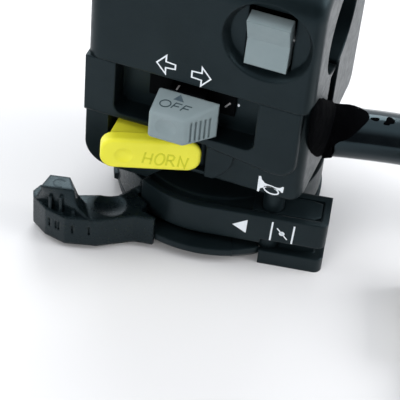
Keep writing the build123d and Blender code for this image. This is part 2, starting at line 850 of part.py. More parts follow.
# Horn button: a long rounded face that stands out at its left end, on a stem with the hinge's eye
horn_across = Vector(horn_right_x - horn_left_x, horn_right_y - horn_left_y, 0)
horn_along = horn_across.normalized()
horn_outward = Vector(horn_along.Y, -horn_along.X, 0)
horn_plane = Plane(
    origin=(horn_left_x, horn_left_y, horn_bottom_z),
    x_dir=horn_along,
    z_dir=horn_outward,
)
horn_height = horn_top_z - horn_bottom_z
horn_middle_z = (horn_top_z + horn_bottom_z) / 2
with BuildPart() as horn_button:
    with BuildSketch(horn_plane):
        with Locations((horn_across.length / 2, horn_height / 2)):
            RectangleRounded(horn_across.length, horn_height, horn_corner)
    extrude(amount=-horn_thickness)
    fillet(
        horn_button.edges().group_by(Axis((0, 0, 0), tuple(horn_outward)))[-1],
        radius=horn_face_round,
    )
    dimple = horn_plane.from_local_coords(
        (horn_dimple_along, horn_dimple_z - horn_bottom_z, horn_dimple_radius - horn_dimple_depth)
    )
    with Locations(dimple):
        Sphere(horn_dimple_radius, mode=Mode.SUBTRACT)
    with BuildSketch(Plane.XY.offset(horn_stem_bottom_z)):
        with BuildLine():
            Polyline(
                (horn_stem_left_x, horn_left_y + horn_thickness),
                (horn_stem_left_x, horn_stem_back_y),
                (horn_pivot_x, horn_stem_back_y),
                (horn_pivot_x, horn_right_y + horn_thickness / 2),
                close=True,
            )
        make_face()
    extrude(amount=horn_stem_top_z - horn_stem_bottom_z)
    with BuildSketch(Plane.XY.offset(horn_bottom_z - horn_recess_clearance + horn_eye_gap)):
        with Locations((horn_pivot_x, horn_pivot_y)):
            Circle(horn_eye_radius)
    extrude(amount=horn_height + 2 * (horn_recess_clearance - horn_eye_gap))
    with BuildSketch(Plane.XY.offset(lip_z)):
        with Locations((horn_pivot_x, horn_pivot_y)):
            Circle(horn_pin_radius + pin_clearance)
    extrude(amount=horn_pin_top - lip_z, mode=Mode.SUBTRACT)

with BuildPart() as horn_pivot_pin:
    with BuildSketch(Plane.XY.offset(horn_pin_bottom)):
        with Locations((horn_pivot_x, horn_pivot_y)):
            Circle(horn_pin_radius)
    extrude(amount=horn_pin_top - horn_pin_bottom)

horn_plate_bottom_z = parting_z + keel_slope * horn_plate_y + floor_wall
with BuildPart() as horn_contact_plate:
    with BuildSketch(Plane.XZ.offset(-horn_plate_y)):
        with Locations(
            (
                (horn_plate_left_x + horn_plate_right_x) / 2,
                (horn_plate_top_z + horn_plate_bottom_z) / 2,
            )
        ):
            Rectangle(horn_plate_right_x - horn_plate_left_x, horn_plate_top_z - horn_plate_bottom_z)
    extrude(amount=-horn_plate_thickness)

with BuildPart() as horn_spring:
    with BuildSketch(Plane.XZ.offset(-horn_plate_y)):
        with Locations((horn_spring_x, horn_middle_z)):
            Circle(horn_spring_radius)
            Circle(horn_spring_radius - horn_spring_wire, mode=Mode.SUBTRACT)
    extrude(amount=horn_plate_y - horn_stem_back_y - horn_spring_gap)

# Dimmer rocker on its pin, tilted with its upper end out
dimmer_rad = math.radians(dimmer_tilt)
rocker_plane = Plane(
    origin=(dimmer_x - dimmer_width / 2, dimmer_pivot_y, dimmer_z),
    x_dir=(0, math.cos(dimmer_rad), math.sin(dimmer_rad)),
    z_dir=(1, 0, 0),
)
rocker_front = panel_y - dimmer_clearance - dimmer_pivot_y
with BuildPart() as dimmer_rocker:
    with BuildSketch(rocker_plane):
        with BuildLine():
            Polyline(
                (rocker_front, dimmer_height / 2),
                (rocker_front + dimmer_valley, 0),
                (rocker_front, -dimmer_height / 2),
                (rocker_front + dimmer_depth - dimmer_valley, -dimmer_height / 2),
                (0, -dimmer_hub_radius),
                (0, dimmer_hub_radius),
                (rocker_front + dimmer_depth - dimmer_valley, dimmer_height / 2),
                close=True,
            )
        make_face()
        Circle(dimmer_hub_radius)
        Circle(dimmer_pin_radius + pin_clearance, mode=Mode.SUBTRACT)
    extrude(amount=dimmer_width)

with BuildPart() as dimmer_pivot_pin:
    with BuildSketch(Plane.YZ.offset(dimmer_x)):
        with Locations((dimmer_pivot_y, dimmer_z)):
            Circle(dimmer_pin_radius)
    extrude(amount=dimmer_width / 2 + dimmer_pin_seat, both=True)

with BuildPart() as dimmer_contact_block:
    dimmer_floor_y = panel_y + dimmer_well_depth
    with BuildSketch(Plane.XZ.offset(-dimmer_floor_y)):
        with Locations((dimmer_x, dimmer_z)):
            Rectangle(dimmer_width, dimmer_height)
    extrude(amount=dimmer_block_thickness)
    with BuildSketch(Plane.XZ.offset(-dimmer_floor_y + dimmer_block_thickness)):
        for side in (-1, 1):
            with Locations((dimmer_x, dimmer_z + side * dimmer_stud_offset)):
                Circle(dimmer_stud_radius)
    extrude(amount=dimmer_stud_height)

# Base of the starter lever unit, which the whole cluster stands on
with BuildPart() as flange:
    with Locations((choke_x, choke_y, table_z + flange_edge / 2)):
        Cone(base_foot_radius, flange_radius, flange_edge)
    with BuildSketch(choke_plane(flange_edge)):
        Circle(flange_radius)
    extrude(amount=flange_top - flange_edge)
    with BuildSketch(choke_plane(0)):
        add(sector(band_radius - band_wall, 2 * flange_radius, flange_start, flange_end))
    extrude(amount=flange_top, mode=Mode.INTERSECT)

with BuildPart() as choke_base:
    with Locations((choke_x, choke_y, table_z + base_edge / 2)):
        Cone(base_foot_radius, base_radius, base_edge)
    with BuildSketch(choke_plane(base_edge)):
        Circle(base_radius)
    extrude(amount=base_height - base_edge)
    add(flange.part)
    with BuildSketch(choke_plane(0)):
        add(tail_outline(0, tail_start))
    extrude(amount=base_height)
    with BuildSketch(choke_plane(base_height)):
        add(tail_outline(upstand_inset, 0))
        add(tail_outline(upstand_inset + upstand_wall, -upstand_wall), mode=Mode.SUBTRACT)
        Circle(band_radius + upstand_wall, mode=Mode.SUBTRACT)
        with Locations((peg_x - choke_x, peg_y - choke_y)):
            Circle(tail_post_radius + screw_clearance, mode=Mode.SUBTRACT)
    extrude(amount=upstand_top - base_height)
    with BuildSketch(choke_plane(0)):
        add(sector(window_base_radius, flange_radius, base_notch_start, flange_start))
    extrude(amount=flange_top, mode=Mode.SUBTRACT)
    with BuildSketch(choke_plane(0)):
        Circle(choke_screw_head + screw_clearance)
    extrude(amount=choke_screw_recess, mode=Mode.SUBTRACT)
    with BuildSketch(choke_plane(0)):
        Circle(choke_screw_radius)
    extrude(amount=flange_top, mode=Mode.SUBTRACT)
    with BuildSketch(Plane.XY.offset(table_z)):
        with Locations((peg_x, peg_y)):
            Circle(tail_screw_head + screw_clearance)
    extrude(amount=tail_screw_recess, mode=Mode.SUBTRACT)
    with BuildSketch(Plane.XY.offset(table_z)):
        with Locations((peg_x, peg_y)):
            Circle(tail_screw_radius)
    extrude(amount=flange_top, mode=Mode.SUBTRACT)

# Cover: the band round the lever's drum with its window, the top plate and the tail that the cable enters
tail_across = (tail_front + tail_back) / 2
tail_heading = Vector(math.cos(math.radians(tail_angle)), math.sin(math.radians(tail_angle)), 0)
hole_along, hole_across = tail_point(tail_end, tail_across)
cable_plane = Plane(
    origin=(choke_x + hole_along, choke_y + hole_across, table_z + cable_hole_z),
    z_dir=tail_heading,
)
band_inner = band_radius - band_wall
with BuildPart() as choke_cover:
    with BuildSketch(choke_plane(band_bottom)):
        add(tail_outline(0, 0))
    extrude(amount=band_top - band_bottom)
    with BuildSketch(choke_plane(band_bottom)):
        add(tail_outline(0, tail_start))
    extrude(amount=tail_step - band_bottom, mode=Mode.SUBTRACT)
    with BuildSketch(choke_plane(band_bottom)):
        Circle(band_inner)
    extrude(amount=band_top - band_bottom, mode=Mode.SUBTRACT)
    with BuildSketch(choke_plane(band_bottom)):
        add(sector(band_inner, band_radius, window_end, window_start + 360))
    extrude(amount=band_top - band_bottom)
    with BuildSketch(choke_plane(band_bottom)):
        add(tail_outline(tail_wall, 0))
    extrude(amount=cover_plate_bottom - band_bottom, mode=Mode.SUBTRACT)
    with BuildSketch(choke_plane(cover_plate_top)):
        add(tail_outline(tail_wall, 0))
    extrude(amount=band_top - cover_plate_top, mode=Mode.SUBTRACT)
    with BuildSketch(Plane.XY.offset(table_z + base_height)):
        with Locations((peg_x, peg_y)):
            Circle(tail_post_radius)
    extrude(amount=cover_plate_bottom - base_height)
    with BuildSketch(choke_plane(base_height)):
        Circle(band_inner)
    extrude(amount=cover_plate_bottom - base_height, mode=Mode.SUBTRACT)
    with BuildSketch(choke_plane(cover_plate_bottom)):
        Circle(lever_radius - plate_window_gap)
        add(sector(rim_inner, band_inner + band_wall / 2, window_end, window_start + 360))
    extrude(amount=cover_plate_top - cover_plate_bottom)
    with BuildSketch(choke_plane(cover_plate_top)):
        Circle(cover_step_radius)
    extrude(amount=cover_step_height)
    with BuildSketch(choke_plane(cover_plate_bottom)):
        Circle(cover_pad_radius)
    extrude(amount=foot_z - table_z - cover_plate_bottom)
    with BuildSketch(Plane.XY.offset(table_z + cover_boss_bottom)):
        with Locations(*cover_screw_places):
            Circle(cover_boss_radius)
    extrude(amount=foot_z - table_z - cover_boss_bottom)
    with BuildSketch(Plane.XY.offset(table_z + cover_screw_bottom)):
        with Locations(*cover_screw_places):
            Circle(cover_screw_radius)
    extrude(amount=foot_z - table_z - cover_screw_bottom, mode=Mode.SUBTRACT)
    with BuildSketch(choke_plane(cover_plate_bottom)):
        Circle(choke_screw_radius)
    extrude(amount=choke_screw_top - cover_plate_bottom, mode=Mode.SUBTRACT)
    with BuildSketch(Plane.XY.offset(table_z + base_height)):
        with Locations((peg_x, peg_y)):
            Circle(tail_screw_radius)
    extrude(amount=cover_plate_top - base_height, mode=Mode.SUBTRACT)
    with BuildSketch(cable_plane):
        Circle(cable_hole_radius)
    extrude(amount=-2 * tail_wall, mode=Mode.SUBTRACT)

# Starter lever: the drum with its hub and ring pocket, the root in the window, the arm and the thumb tab
arm_outline = [
    (-10.05, -25.27),
    (-9.79, -25.39),
    (-8.04, -25.99),
    (-6.12, -26.52),
    (-6.28, -27.2),
    (-10.4, -27.9),
    (-17.6, -32.6),
    (-24.5, -34.6),
    (-29.6, -33.6),
    (-33.6, -31.0),
    (-34.3, -29.5),
    (-33.5, -27.0),
    (-24.4, -26.7),
    (-16.2, -23.1),
    (-13.6, -18.9),
    (-12.1, -19.4),
    (-12.3, -21.2),
    (-9.25, -22.9),
]
tab_sections = [
    (arm_top - 0.5, [(-33.2, -31.4), (-18.7, -33.2), (-21.5, -28.6), (-33.2, -28.2)]),
    (11.6, [(-31.6, -32.2), (-21.8, -33.0), (-23.8, -28.6), (-31.4, -28.6)]),
    (13.8, [(-30.7, -33.1), (-22.9, -32.6), (-24.8, -28.6), (-30.4, -29.1)]),
    (tab_top, [(-30.6, -33.9), (-23.4, -32.1), (-25.8, -28.7), (-30.1, -29.7)]),
]
with BuildPart() as choke_lever:
    with BuildSketch(choke_plane(lever_bottom)):
        Circle(lever_radius)
    extrude(amount=lever_top - lever_bottom)
    with BuildSketch(choke_plane(lever_bottom)):
        add(sector(rim_inner, root_radius, root_start, root_end))
    extrude(amount=lever_top - lever_bottom)
    with BuildSketch(choke_plane(lever_top)):
        add(sector(lever_radius, root_radius, root_start, root_end))
    extrude(amount=root_top - lever_top)
    with BuildSketch(choke_plane(lever_bottom)):
        with BuildLine():
            Polyline(*arm_outline, close=True)
        make_face()
    extrude(amount=arm_top - lever_bottom)
    with BuildSketch(choke_plane(arm_bottom)):
        with BuildLine():
            Polyline(*arm_outline, close=True)
        make_face()
        Circle(arm_inner_radius, mode=Mode.SUBTRACT)
    extrude(amount=lever_bottom - arm_bottom)
    for height, corners in tab_sections:
        with BuildSketch(choke_plane(height)):
            with BuildLine():
                Polyline(*corners, close=True)
            make_face()
    loft(ruled=True)
    for rib_x, rib_bottom, rib_top in rib_places:
        with BuildSketch(choke_plane(rib_bottom)):
            with Locations((rib_x, rib_front_y)):
                Rectangle(rib_width, rib_length, align=(Align.CENTER, Align.MIN))
        extrude(amount=rib_top - rib_bottom)
    with BuildSketch(choke_plane(mark_bottom)):
        with Locations(*mark_places):
            Rectangle(mark_width, 2 * mark_depth)
    extrude(amount=mark_top - mark_bottom, mode=Mode.SUBTRACT)
    with Locations(
        (choke_x + dish_x, choke_y + dish_y, table_z + arm_top + dish_radius - dish_depth)
    ):
        Sphere(dish_radius, mode=Mode.SUBTRACT)
    with BuildSketch(choke_plane(web_top)):
        Circle(rim_inner)
        Circle(hub_radius, mode=Mode.SUBTRACT)
    extrude(amount=lever_top - web_top, mode=Mode.SUBTRACT)
    with BuildSketch(choke_plane(hub_top)):
        Circle(hub_radius)
    extrude(amount=lever_top - hub_top, mode=Mode.SUBTRACT)
    with BuildSketch(choke_plane(lever_bottom)):
        Circle(bush_radius + hub_clearance)
    extrude(amount=lever_top - lever_bottom, mode=Mode.SUBTRACT)

with BuildPart() as choke_pivot_bush:
    with BuildSketch(choke_plane(base_height)):
        Circle(bush_radius)
        Circle(bush_hole_radius, mode=Mode.SUBTRACT)
    extrude(amount=cover_plate_bottom - base_height)

with BuildPart() as choke_friction_washer:
    with BuildSketch(choke_plane(washer_bottom)):
        Circle(washer_outer)
        Circle(washer_inner, mode=Mode.SUBTRACT)
    extrude(amount=cover_plate_bottom - washer_bottom)

with BuildPart() as choke_pivot_screw:
    with BuildSketch(choke_plane(choke_screw_recess - choke_screw_head_height)):
        Circle(choke_screw_head)
    extrude(amount=choke_screw_head_height)
    with BuildSketch(choke_plane(choke_screw_recess)):
        Circle(choke_screw_radius)
    extrude(amount=choke_screw_top - choke_screw_recess)

with BuildPart() as tail_screw:
    with BuildSketch(Plane.XY.offset(table_z + tail_screw_recess - tail_screw_head_height)):
        with Locations((peg_x, peg_y)):
            Circle(tail_screw_head)
    extrude(amount=tail_screw_head_height)
    with BuildSketch(Plane.XY.offset(table_z + tail_screw_recess)):
        with Locations((peg_x, peg_y)):
            Circle(tail_screw_radius)
    extrude(amount=cover_plate_top + tail_screw_depth - tail_screw_recess)

cover_screw_top_z = foot_z + cover_screw_seat
cover_screws = {}
for name, place in zip(("left", "right"), cover_screw_places):
    with BuildPart() as screw:
        with BuildSketch(Plane.XY.offset(table_z + cover_screw_bottom)):
            with Locations(place):
                Circle(cover_screw_radius)
        extrude(amount=cover_screw_top_z - table_z - cover_screw_bottom)
        with BuildSketch(Plane.XY.offset(cover_screw_top_z)):
            with Locations(place):
                Circle(cover_screw_head)
        extrude(amount=cover_screw_head_height)
    cover_screws["cover_screw_" + name] = screw.part

# Screws that clamp the two halves round the bar, put in from the front
screw_seat_y = front_y - screw_seat_depth
housing_screws = {}
for name, (place_x, place_z) in zip(("lower_left", "lower_right", "upper"), screw_places):
    with BuildPart() as screw:
        with BuildSketch(Plane.XZ.offset(-screw_seat_y)):
            with Locations((place_x, place_z)):
                Circle(screw_radius)
        extrude(amount=screw_seat_y + screw_depth)
        with BuildSketch(Plane.XZ.offset(-screw_seat_y)):
            with Locations((place_x, place_z)):
                Circle(screw_head_radius)
        extrude(amount=-screw_head_height)
    housing_screws["housing_screw_" + name] = screw.part


def loom_point(reach, side, height):
    """A point of the loom's route: distance out from the outlet, distance to the far side, height."""
    angle = math.radians(loom_angle)
    return Vector(
        end_x + reach * math.cos(angle) - side * math.sin(angle),
        loom_y + reach * math.sin(angle) + side * math.cos(angle),
        height,
    )


# Loom: wrap in the outlet, sleeve over the bundle of wires, and the connector at its far end
route = [loom_point(*place) for place in zip(route_reach, route_side, route_height)]
corner_reach = ring_radius / math.cos(math.radians(ring_step / 2))
for step in range(ring_points):
    angle = math.radians(90 - ring_step / 2 - step * ring_step)
    route.append(
        loom_point(
            ring_reach + corner_reach * math.cos(angle),
            corner_reach * math.sin(angle) - ring_radius,
            route_height[-1],
        )
    )


def bend_radii(points):
    """For each inner point of a route, the largest bend that its two runs allow."""
    radii = []
    for before, here, after in zip(points, points[1:], points[2:]):
        turn = (here - before).get_angle(after - here)
        shorter = min((here - before).length, (after - here).length)
        radii.append(bend_share * shorter / math.tan(math.radians(turn / 2)))
    return radii


last_run = (route[-1] - route[-2]).normalized()
wire_route = [route[0] - loom_direction * (route_reach[0] + wire_inside)] + route[1:]
sleeve_radii = bend_radii(route)
print("bend radii", [round(radius) for radius in sleeve_radii])
with BuildPart() as loom_sleeve:
    with BuildLine() as sleeve_line:
        FilletPolyline(*route, radius=sleeve_radii)
    with BuildSketch(Plane(origin=route[0], x_dir=(0, 0, 1), z_dir=loom_direction)):
        Circle(sleeve_radius)
        Circle(wrap_radius, mode=Mode.SUBTRACT)
    sweep(path=sleeve_line.wires()[0])
with BuildPart() as loom_wires:
    with BuildLine() as wire_line:
        FilletPolyline(*wire_route, radius=bend_radii(wire_route))
    with BuildSketch(Plane(origin=wire_route[0], x_dir=(0, 0, 1), z_dir=loom_direction)):
        Circle(wire_radius)
    sweep(path=wire_line.wires()[0])
sleeve_length = sum(edge.length for edge in sleeve_line.edges())
sleeve_area = math.pi * (sleeve_radius**2 - wrap_radius**2)
wire_length = sum(edge.length for edge in wire_line.edges())
print("sleeve length", round(sleeve_length), "wire length", round(wire_length))
wire_area = math.pi * wire_radius**2
print("sleeve volume over section times length", loom_sleeve.part.volume / sleeve_area / sleeve_length)
print("wire volume over section times length", loom_wires.part.volume / wire_area / wire_length)

with BuildPart() as loom_wrap:
    with BuildSketch(loom_plane.offset(-wrap_inside)):
        Circle(wrap_radius)
        Circle(wire_radius, mode=Mode.SUBTRACT)
    extrude(amount=wrap_inside + wrap_outside + wrap_overlap)

connector_plane = Plane(origin=route[-1], x_dir=(0, 0, 1), z_dir=last_run)
with BuildPart() as connector_shell:
    with BuildSketch(connector_plane):
        RectangleRounded(2 * (route[-1].Z - table_z), connector_width, connector_corner)
    extrude(amount=connector_length)
    with BuildSketch(connector_plane.offset(connector_length - connector_mouth)):
        Rectangle(
            2 * (route[-1].Z - table_z) - 2 * connector_wall,
            connector_width - 2 * connector_wall,
        )
    extrude(amount=connector_mouth, mode=Mode.SUBTRACT)

with BuildPart() as connector_terminals:
    with BuildSketch(connector_plane.offset(connector_length - connector_mouth)):
        with GridLocations(blade_pitch, blade_pitch, 2, 3):
            Rectangle(blade_thickness, blade_width)
    extrude(amount=connector_mouth - blade_setback)

pieces = {
    "rear_upper_housing": rear_upper_housing.part,
    "rear_lower_housing": rear_lower_housing.part,
    "front_housing": front_housing.part,
    "slider_knob": slider_knob.part,
    "slider_shield": slider_shield.part,
    "slider_carrier": slider_carrier.part,
    "detent_ball": detent_ball.part,
    "detent_spring": detent_spring.part,
    "turn_contact_board": turn_contact_board.part,
    "turn_terminals": turn_terminals.part,
    "horn_button": horn_button.part,
    "horn_pivot_pin": horn_pivot_pin.part,
    "horn_contact_plate": horn_contact_plate.part,
    "horn_spring": horn_spring.part,
    "dimmer_rocker": dimmer_rocker.part,
    "dimmer_pivot_pin": dimmer_pivot_pin.part,
    "dimmer_contact_block": dimmer_contact_block.part,
    "choke_base": choke_base.part,
    "choke_cover": choke_cover.part,
    "choke_lever": choke_lever.part,
    "choke_pivot_bush": choke_pivot_bush.part,
    "choke_friction_washer": choke_friction_washer.part,
    "choke_pivot_screw": choke_pivot_screw.part,
    "tail_screw": tail_screw.part,
    **cover_screws,
    **housing_screws,
    "loom_wrap": loom_wrap.part,
    "loom_sleeve": loom_sleeve.part,
    "loom_wires": loom_wires.part,
    "connector_shell": connector_shell.part,
    "connector_terminals": connector_terminals.part,
}
for name, piece in pieces.items():
    piece.label = name
    export_step(piece, "parts/" + name + ".step")
    print(name, round(piece.volume), len(piece.solids()), piece.is_valid)
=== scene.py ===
import json
import math

import bmesh
import bpy
from mathutils import Matrix, Vector


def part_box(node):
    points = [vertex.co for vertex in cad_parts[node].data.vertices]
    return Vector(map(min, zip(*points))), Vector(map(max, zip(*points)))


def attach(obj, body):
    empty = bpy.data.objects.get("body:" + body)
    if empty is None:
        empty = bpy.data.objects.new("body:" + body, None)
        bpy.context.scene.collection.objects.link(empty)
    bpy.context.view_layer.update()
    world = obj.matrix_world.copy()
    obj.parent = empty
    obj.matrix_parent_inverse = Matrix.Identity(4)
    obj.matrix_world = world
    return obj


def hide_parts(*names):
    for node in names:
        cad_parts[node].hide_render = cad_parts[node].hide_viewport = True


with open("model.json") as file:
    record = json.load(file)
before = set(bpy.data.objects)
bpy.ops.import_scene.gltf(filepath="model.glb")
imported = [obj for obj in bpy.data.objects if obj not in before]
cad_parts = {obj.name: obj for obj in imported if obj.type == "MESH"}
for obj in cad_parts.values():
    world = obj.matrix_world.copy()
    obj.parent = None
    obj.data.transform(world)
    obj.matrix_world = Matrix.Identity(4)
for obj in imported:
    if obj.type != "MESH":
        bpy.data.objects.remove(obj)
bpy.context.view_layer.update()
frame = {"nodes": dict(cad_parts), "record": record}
MM = 0.001

# Camera: the photograph's viewpoint in the part's frame
VIEW_TARGET = Vector((-0.34, -7.24, -55.0)) * MM
VIEW_POINT = Vector((70.9, -267.6, 206.5)) * MM
VIEW_RIGHT = Vector((0.9646, 0.2639, 0.0))
VIEW_ROLL = math.radians(5.9)
VIEW_LENS = 145.4
VIEW_SENSOR = 36.0
VIEW_NEAR = 0.01
VIEW_FAR = 20.0


def add_camera():
    """The camera at the photograph's place, rolled as the photograph is."""
    forward = (VIEW_TARGET - VIEW_POINT).normalized()
    upward = VIEW_RIGHT.cross(forward)
    side = VIEW_RIGHT * math.cos(VIEW_ROLL) + upward * math.sin(VIEW_ROLL)
    top = upward * math.cos(VIEW_ROLL) - VIEW_RIGHT * math.sin(VIEW_ROLL)
    data = bpy.data.cameras.new("view")
    data.lens = VIEW_LENS
    data.sensor_width = VIEW_SENSOR
    data.clip_start = VIEW_NEAR
    data.clip_end = VIEW_FAR
    camera = bpy.data.objects.new("view", data)
    turn = Matrix((side, top, -forward)).transposed().to_4x4()
    camera.matrix_world = Matrix.Translation(VIEW_POINT) @ turn
    bpy.context.scene.collection.objects.link(camera)
    bpy.context.scene.camera = camera


# Loom: the part's own route, each point as distance out, distance to the far side and height
LOOM_OUTLET = Vector((24.8, 1.8, 0.0))
LOOM_ANGLE = math.radians(15.3)
LOOM_OUT = Vector((math.cos(LOOM_ANGLE), math.sin(LOOM_ANGLE), 0.0))
LOOM_NEAR_SIDE = Vector((math.sin(LOOM_ANGLE), -math.cos(LOOM_ANGLE), 0.0))
ROUTE = [
    (1.7, 0.0, -31.4),
    (21.5, 0.0, -31.4),
    (40.0, 0.0, -36.4),
    (58.5, 0.0, -45.0),
    (77.5, -0.3, -50.3),
]
RING_REACH = 94.0
RING_RADIUS = 63.0
RING_POINTS = 10
RING_STEP = 30.0
RING_HEIGHT = -50.3
SLEEVE_RADIUS = 5.75


def loom_point(reach, side, height):
    """A point of the loom's route, in metres."""
    x = LOOM_OUTLET.x + reach * math.cos(LOOM_ANGLE) - side * math.sin(LOOM_ANGLE)
    y = LOOM_OUTLET.y + reach * math.sin(LOOM_ANGLE) + side * math.cos(LOOM_ANGLE)
    return Vector((x, y, height)) * MM


def loom_route():
    """The free stretch and the open ring, as points of the cord's spline."""
    points = [loom_point(*place) for place in ROUTE]
    corner = RING_RADIUS / math.cos(math.radians(RING_STEP / 2))
    for step in range(RING_POINTS):
        angle = math.radians(90 - RING_STEP / 2 - step * RING_STEP)
        reach = RING_REACH + corner * math.cos(angle)
        side = corner * math.sin(angle) - RING_RADIUS
        points.append(loom_point(reach, side, RING_HEIGHT))
    return points


def add_cord():
    """The sleeve of the loom on one smooth spline; its points carry the radius."""
    points = loom_route()
    data = bpy.data.curves.new("loom_cord", "CURVE")
    data.dimensions = "3D"
    data.bevel_depth = 1.0
    data.bevel_resolution = 8
    data.resolution_u = 16
    data.use_fill_caps = True
    spline = data.splines.new("NURBS")
    spline.points.add(len(points) - 1)
    for slot, point in zip(spline.points, points):
        slot.co = (*point, 1.0)
        slot.radius = SLEEVE_RADIUS * MM
    spline.order_u = 3
    spline.use_endpoint_u = True
    cord = bpy.data.objects.new("loom_cord", data)
    bpy.context.scene.collection.objects.link(cord)
    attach(cord, "housing")
    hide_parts("loom_sleeve", "loom_wires")
    return cord


add_camera()
cord = add_cord()

GLOSS_MM = 1.6
BUMP_STRENGTH = 0.6
SHEEN_TINT = (0.60, 0.88, 1.0)


def node_tree(name):
    """A new material with its node tree, its shader and the object's coordinates."""
    material = bpy.data.materials.new(name)
    material.use_nodes = True
    tree = material.node_tree
    shader = tree.nodes["Principled BSDF"]
    place = tree.nodes.new("ShaderNodeTexCoord").outputs["Object"]
    return material, tree, shader, place


def noise(tree, place, size_mm, detail=3.0, roughness=0.55):
    """A noise pattern whose cells are about size_mm wide."""
    node = tree.nodes.new("ShaderNodeTexNoise")
    node.inputs["Scale"].default_value = 1.0 / (size_mm * MM)
    node.inputs["Detail"].default_value = detail
    node.inputs["Roughness"].default_value = roughness
    tree.links.new(place, node.inputs["Vector"])
    return node.outputs["Fac"]


def ramp(tree, value, start, end, low=0.0, high=1.0):
    """Maps a value's range from start to end onto the range low to high."""
    node = tree.nodes.new("ShaderNodeMapRange")
    node.inputs["From Min"].default_value = start
    node.inputs["From Max"].default_value = end
    node.inputs["To Min"].default_value = low
    node.inputs["To Max"].default_value = high
    tree.links.new(value, node.inputs["Value"])
    return node


def spread(tree, factor, low=0.0, high=1.0):
    """Maps a pattern's middle part to the range low to high."""
    return ramp(tree, factor, 0.3, 0.7, low, high).outputs["Result"]


def blend(tree, factor, first, second):
    """Mixes two plain colours by a factor."""
    mix = tree.nodes.new("ShaderNodeMix")
    mix.data_type = "RGBA"
    mix.inputs["A"].default_value = (*first, 1.0)
    mix.inputs["B"].default_value = (*second, 1.0)
    tree.links.new(factor, mix.inputs["Factor"])
    return mix


def moulded(name, dark, light, rough, grain_mm, depth_mm, round_mm=0.35, cloud_mm=9.0, sheen=0.5):
    """Moulded plastic or rubber: cloudy colour, uneven gloss, fine grain and softened edges."""
    material, tree, shader, place = node_tree(name)
    cloud = spread(tree, noise(tree, place, cloud_mm))
    tree.links.new(blend(tree, cloud, dark, light).outputs["Result"], shader.inputs["Base Color"])
    gloss = spread(tree, noise(tree, place, GLOSS_MM), *rough)
    tree.links.new(gloss, shader.inputs["Roughness"])
    bump = tree.nodes.new("ShaderNodeBump")
    bump.inputs["Strength"].default_value = BUMP_STRENGTH
    bump.inputs["Distance"].default_value = depth_mm * MM
    tree.links.new(noise(tree, place, grain_mm, 2.0), bump.inputs["Height"])
    shader.inputs["Specular IOR Level"].default_value = sheen
    shader.inputs["Specular Tint"].default_value = (*SHEEN_TINT, 1.0)
    soft = tree.nodes.new("ShaderNodeBevel")
    soft.samples = 4
    soft.inputs["Radius"].default_value = round_mm * MM
    tree.links.new(soft.outputs["Normal"], bump.inputs["Normal"])
    tree.links.new(bump.outputs["Normal"], shader.inputs["Normal"])
    return material


def metal(name, dark, light):
    """Bare or plated metal with fine drawn lines."""
    material = moulded(name, dark, light, (0.25, 0.38), 0.2, 0.01, round_mm=0.15, cloud_mm=2.0)
    material.node_tree.nodes["Principled BSDF"].inputs["Metallic"].default_value = 1.0
    return material


def ink(name, dark, light, rough=(0.5, 0.6)):
    """Paint or shade of a sign, a little uneven."""
    return moulded(name, dark, light, rough, 0.25, 0.01, round_mm=0.05, cloud_mm=1.2)


HOUSING_DARK = (0.0030, 0.0055, 0.0065)
HOUSING_LIGHT = (0.0055, 0.0090, 0.0105)
housing_plastic = moulded(
    "housing_plastic", HOUSING_DARK, HOUSING_LIGHT,
    rough=(0.32, 0.42), grain_mm=0.35, depth_mm=0.04, round_mm=0.6, sheen=0.24,
)
lever_plastic = moulded(
    "lever_plastic", (0.0016, 0.0032, 0.0038), (0.0032, 0.0056, 0.0068),
    rough=(0.24, 0.34), grain_mm=0.35, depth_mm=0.05, round_mm=0.9, sheen=0.30,
)
knob_plastic = moulded(
    "knob_plastic", (0.195, 0.242, 0.252), (0.225, 0.272, 0.282),
    rough=(0.45, 0.55), grain_mm=0.3, depth_mm=0.02,
)
horn_plastic = moulded(
    "horn_plastic", (0.76, 0.72, 0.028), (0.82, 0.77, 0.042),
    rough=(0.38, 0.48), grain_mm=0.5, depth_mm=0.02, round_mm=0.5,
)
# Inner black plastic, partly real and partly painted shade: it is made nearly lightless and glossless so the
# slider's shield and collar stand for the dark of the slot behind the knob
board_plastic_and_shade = moulded(
    "board_plastic_and_shade", (0.0010, 0.0010, 0.0012), (0.002, 0.002, 0.0024),
    rough=(0.6, 0.7), grain_mm=0.4, depth_mm=0.02, sheen=0.05,
)
sleeve_rubber = moulded(
    "sleeve_rubber", (0.0025, 0.0035, 0.0045), (0.0045, 0.0060, 0.0070),
    rough=(0.10, 0.18), grain_mm=2.0, depth_mm=0.03, cloud_mm=5.0, sheen=0.45,
)
# Near-black rough rubber for the wrap, the sealing and its dabs; where the sealing's mound reaches the front
# corner it is painted shade
wrap_rubber_and_shade = moulded(
    "wrap_rubber_and_shade", (0.0006, 0.0006, 0.0008), (0.0016, 0.0016, 0.002),
    rough=(0.8, 0.98), grain_mm=0.5, depth_mm=0.15, sheen=0.01,
)
shell_plastic = moulded(
    "shell_plastic", (0.50, 0.49, 0.45), (0.56, 0.55, 0.50),
    rough=(0.4, 0.5), grain_mm=0.4, depth_mm=0.02,
)
steel = metal("steel", (0.56, 0.57, 0.58), (0.66, 0.67, 0.68))
brass = metal("brass", (0.66, 0.50, 0.24), (0.74, 0.57, 0.30))

# The horn button's hinge end lies right of the first and behind the second of these planes
HINGE_LEFT = -0.6
HINGE_FRONT = -19.6


def past(tree, place, axis, limit):
    """One where the place lies beyond a limit on an axis, else nought; the limit in metres."""
    split = tree.nodes.new("ShaderNodeSeparateXYZ")
    tree.links.new(place, split.inputs["Vector"])
    test = tree.nodes.new("ShaderNodeMath")
    test.operation = "GREATER_THAN"
    test.inputs[1].default_value = limit
    tree.links.new(split.outputs[axis], test.inputs[0])
    return test.outputs["Value"]


